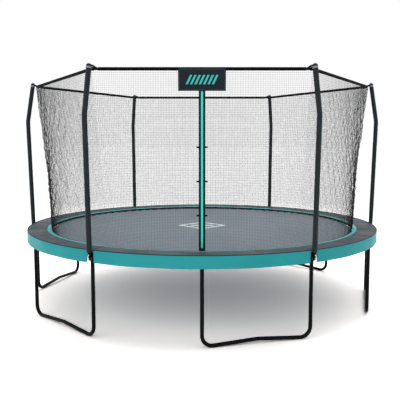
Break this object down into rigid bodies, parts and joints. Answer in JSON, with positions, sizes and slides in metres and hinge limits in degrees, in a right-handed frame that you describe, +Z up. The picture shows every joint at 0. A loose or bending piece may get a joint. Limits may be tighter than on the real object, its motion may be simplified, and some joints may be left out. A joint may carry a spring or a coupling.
{
  "type": "trampoline",
  "caption": "Round 15 ft garden trampoline on six W-shaped legs, with a padded spring cover, teal skirt and a zipped safety net on bent poles.",
  "frame": {"origin": "On the ground below the middle of the mat", "axes": "+Z up; -Y is the front, where the net's door is; +X is to the right seen from the front"},
  "size_m": [4.741, 4.594, 2.8355],
  "materials": {
    "galvanised_frame": "gloss",
    "leg_steel": "gloss",
    "pole_steel": "satin",
    "sleeve_foam": "matte",
    "cap_plastic": "satin",
    "strap_webbing": "matte",
    "black_plastic": "satin",
    "zinc_steel": "satin",
    "mat_fabric": "matte",
    "pad_cover": "satin",
    "teal_cover": "satin",
    "net_fabric": "matte",
    "zip_fabric": "matte",
    "zip_metal": "satin",
    "banner_fabric": "satin"
  },
  "bodies": {
    "frame_body": {"rail_01": "galvanised_frame", "rail_02": "galvanised_frame", "rail_03": "galvanised_frame", "rail_04": "galvanised_frame", "rail_05": "galvanised_frame", "rail_06": "galvanised_frame", "rail_07": "galvanised_frame", "rail_08": "galvanised_frame", "rail_09": "galvanised_frame", "rail_10": "galvanised_frame", "rail_11": "galvanised_frame", "rail_12": "galvanised_frame", "t_sockets": "galvanised_frame", "leg_posts": "leg_steel", "pole_lower_tubes": "pole_steel", "leg_base_1": "leg_steel", "leg_base_2": "leg_steel", "leg_base_3": "leg_steel", "leg_base_4": "leg_steel", "leg_base_5": "leg_steel", "leg_base_6": "leg_steel", "pole_tube_1": "pole_steel", "pole_tube_2": "pole_steel", "pole_tube_3": "pole_steel", "pole_tube_4": "pole_steel", "pole_tube_5": "pole_steel", "pole_tube_6": "pole_steel", "pole_sleeve_1": "sleeve_foam", "pole_sleeve_2": "sleeve_foam", "pole_sleeve_3": "sleeve_foam", "pole_sleeve_4": "sleeve_foam", "pole_sleeve_5": "sleeve_foam", "pole_sleeve_6": "sleeve_foam", "pole_caps": "cap_plastic", "corner_straps": "strap_webbing", "ring_rods": "pole_steel", "ring_elbows": "pole_steel", "net_top_sleeve": "net_fabric", "pole_spacers": "black_plastic", "pole_bolts": "zinc_steel", "pole_nuts": "zinc_steel", "socket_screws": "zinc_steel", "springs": "zinc_steel", "spring_pad": "pad_cover", "pad_inner_band": "teal_cover", "skirt": "teal_cover", "safety_net": "net_fabric", "door_webbing": "strap_webbing", "zip_tape": "zip_fabric", "buckle_straps": "strap_webbing", "buckle_sockets": "black_plastic", "banner": "banner_fabric"},
    "mat_body": {"jump_mat": "mat_fabric", "v_rings": "zinc_steel", "ring_loops": "strap_webbing"},
    "slider_body": {"zip_slider": "zip_metal"},
    "pull_body": {"zip_pull": "zip_metal"},
    "buckle_tongue_1_body": {"buckle_tongue_1": "black_plastic"},
    "buckle_tongue_2_body": {"buckle_tongue_2": "black_plastic"},
    "buckle_tongue_3_body": {"buckle_tongue_3": "black_plastic"}
  },
  "joints": [
    {"name": "mat_bounce", "type": "slide", "parent": "frame_body", "child": "mat_body", "axis": [0, 0, 1], "range_m": [-0.25, 0], "stiffness_N_per_m": 4000, "springref_m": 0.05, "deforming": ["springs"]},
    {"name": "zip_slide", "type": "slide", "parent": "frame_body", "child": "slider_body", "axis": [0, 0.0387, 0.9992], "range_m": [0, 1.47]},
    {"name": "pull_swing", "type": "hinge", "parent": "slider_body", "child": "pull_body", "pos_m": [0, -2.00123, 1.00761], "axis": [-1, 0, 0], "range_deg": [0, 150]},
    {"name": "buckle_release_1", "type": "slide", "parent": "frame_body", "child": "buckle_tongue_1_body", "axis": [1, 0, 0], "range_m": [0, 0.03]},
    {"name": "buckle_release_2", "type": "slide", "parent": "frame_body", "child": "buckle_tongue_2_body", "axis": [1, 0, 0], "range_m": [0, 0.03]},
    {"name": "buckle_release_3", "type": "slide", "parent": "frame_body", "child": "buckle_tongue_3_body", "axis": [1, 0, 0], "range_m": [0, 0.03]}
  ]
}
